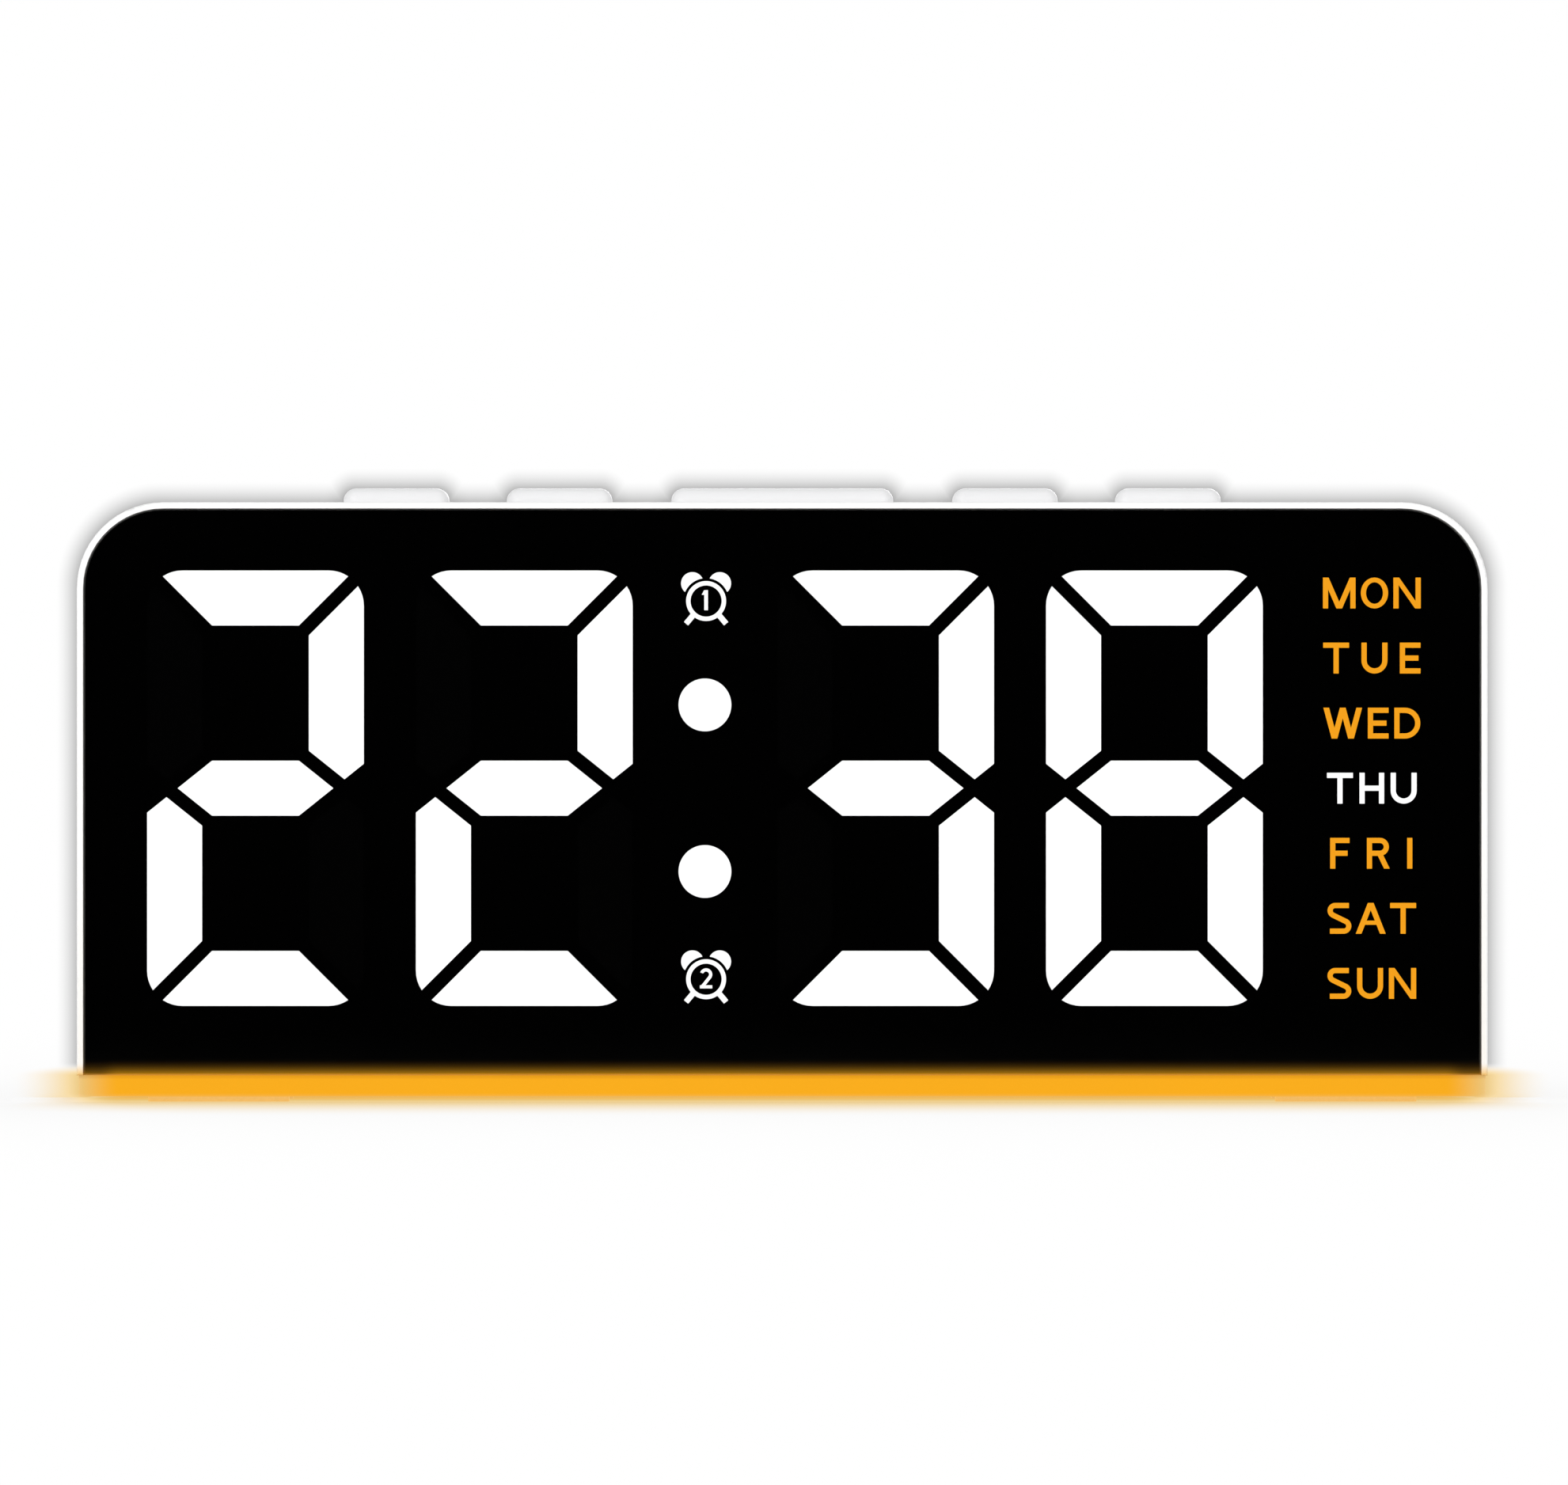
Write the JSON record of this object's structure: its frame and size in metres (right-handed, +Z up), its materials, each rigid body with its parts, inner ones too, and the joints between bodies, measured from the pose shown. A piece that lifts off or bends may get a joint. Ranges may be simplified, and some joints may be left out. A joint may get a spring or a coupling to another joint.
{
  "type": "digital alarm clock",
  "caption": "digital alarm clock with large lit figures, weekday column, push buttons on top and a glowing base",
  "frame": {"origin": "middle of the footprint, on the surface the clock stands on", "axes": "+X to the right of the display, -Y out of the display, +Z up"},
  "size_m": [0.16, 0.034, 0.0697],
  "materials": {
    "white_housing": "smooth moulded white plastic with a fine satin surface",
    "button_plastic": "smooth moulded pale grey plastic",
    "smoked_lens": "polished smoked acrylic, nearly black",
    "black_print": "dense black print",
    "white_light": "white light fill, lit",
    "unlit_fill": "light fill behind dark tint, not lit",
    "amber_light": "amber film, lit",
    "amber_diffuser": "frosted light base, glowing amber",
    "reflector_plastic": "moulded white plastic",
    "circuit_board": "green coated board",
    "strip_board": "white coated board",
    "lamp_body": "pale resin over a lamp",
    "chip_body": "black moulded resin",
    "bright_can": "drawn bright metal",
    "capacitor_can": "dark sleeve",
    "switch_body": "black moulded plastic",
    "cell_sleeve": "plain printed sleeve, no lettering",
    "spring_metal": "nickel-plated spring steel",
    "screw_steel": "zinc-plated steel",
    "red_lead": "red lead insulation",
    "black_lead": "black lead insulation",
    "foot_rubber": "clear frosted silicone rubber"
  },
  "bodies": {
    "housing": {"case_shell": "white_housing", "rear_cover": "white_housing", "front_lens": "smoked_lens", "mask_print": "black_print", "lens_tape": "black_print", "lit_segments": "white_light", "colon_fills": "white_light", "alarm_fills": "white_light", "white_day_film": "white_light", "dark_segments": "unlit_fill", "amber_day_films": "amber_light", "reflector_frame": "reflector_plastic", "display_board": "circuit_board", "key_board": "circuit_board", "power_board": "circuit_board", "light_strip_board": "strip_board", "display_leds": "lamp_body", "light_strip_leds": "lamp_body", "display_driver": "chip_body", "clock_chip": "chip_body", "crystal": "bright_can", "power_socket": "bright_can", "board_capacitors": "capacitor_can", "board_resistors": "chip_body", "buzzer": "chip_body", "key_header": "chip_body", "tact_switches": "switch_body", "battery_cell_1": "cell_sleeve", "battery_cell_2": "cell_sleeve", "battery_cell_3": "cell_sleeve", "contact_plates": "spring_metal", "contact_leaves": "spring_metal", "battery_lead_plus": "red_lead", "battery_lead_minus": "black_lead", "power_leads": "red_lead", "strip_leads": "black_lead", "display_screws": "screw_steel", "key_screws": "screw_steel", "cover_screws": "screw_steel", "power_screws": "screw_steel", "base_screws": "screw_steel", "base_diffuser": "amber_diffuser", "rubber_feet": "foot_rubber"},
    "mode_key": {"mode_button": "button_plastic", "mode_plunger": "switch_body"},
    "down_key": {"down_button": "button_plastic", "down_plunger": "switch_body"},
    "snooze_key": {"snooze_button": "button_plastic", "snooze_plunger": "switch_body"},
    "up_key": {"up_button": "button_plastic", "up_plunger": "switch_body"},
    "alarm_key": {"alarm_button": "button_plastic", "alarm_plunger": "switch_body"},
    "door": {"battery_door": "white_housing"}
  },
  "joints": [
    {"name": "mode_press", "type": "slide", "parent": "housing", "child": "mode_key", "axis": [0, 0, -1], "range_m": [0, 0.0005], "stiffness_N_per_m": 1200, "springref_m": -0.0004},
    {"name": "down_press", "type": "slide", "parent": "housing", "child": "down_key", "axis": [0, 0, -1], "range_m": [0, 0.0005], "stiffness_N_per_m": 1200, "springref_m": -0.0004},
    {"name": "snooze_press", "type": "slide", "parent": "housing", "child": "snooze_key", "axis": [0, 0, -1], "range_m": [0, 0.0005], "stiffness_N_per_m": 1200, "springref_m": -0.0004},
    {"name": "up_press", "type": "slide", "parent": "housing", "child": "up_key", "axis": [0, 0, -1], "range_m": [0, 0.0005], "stiffness_N_per_m": 1200, "springref_m": -0.0004},
    {"name": "alarm_press", "type": "slide", "parent": "housing", "child": "alarm_key", "axis": [0, 0, -1], "range_m": [0, 0.0005], "stiffness_N_per_m": 1200, "springref_m": -0.0004},
    {"name": "door_swing", "type": "hinge", "parent": "housing", "child": "door", "pos_m": [-0.022, 0.01585, 0.01465], "axis": [-1, 0, 0], "range_deg": [0, 90]}
  ]
}
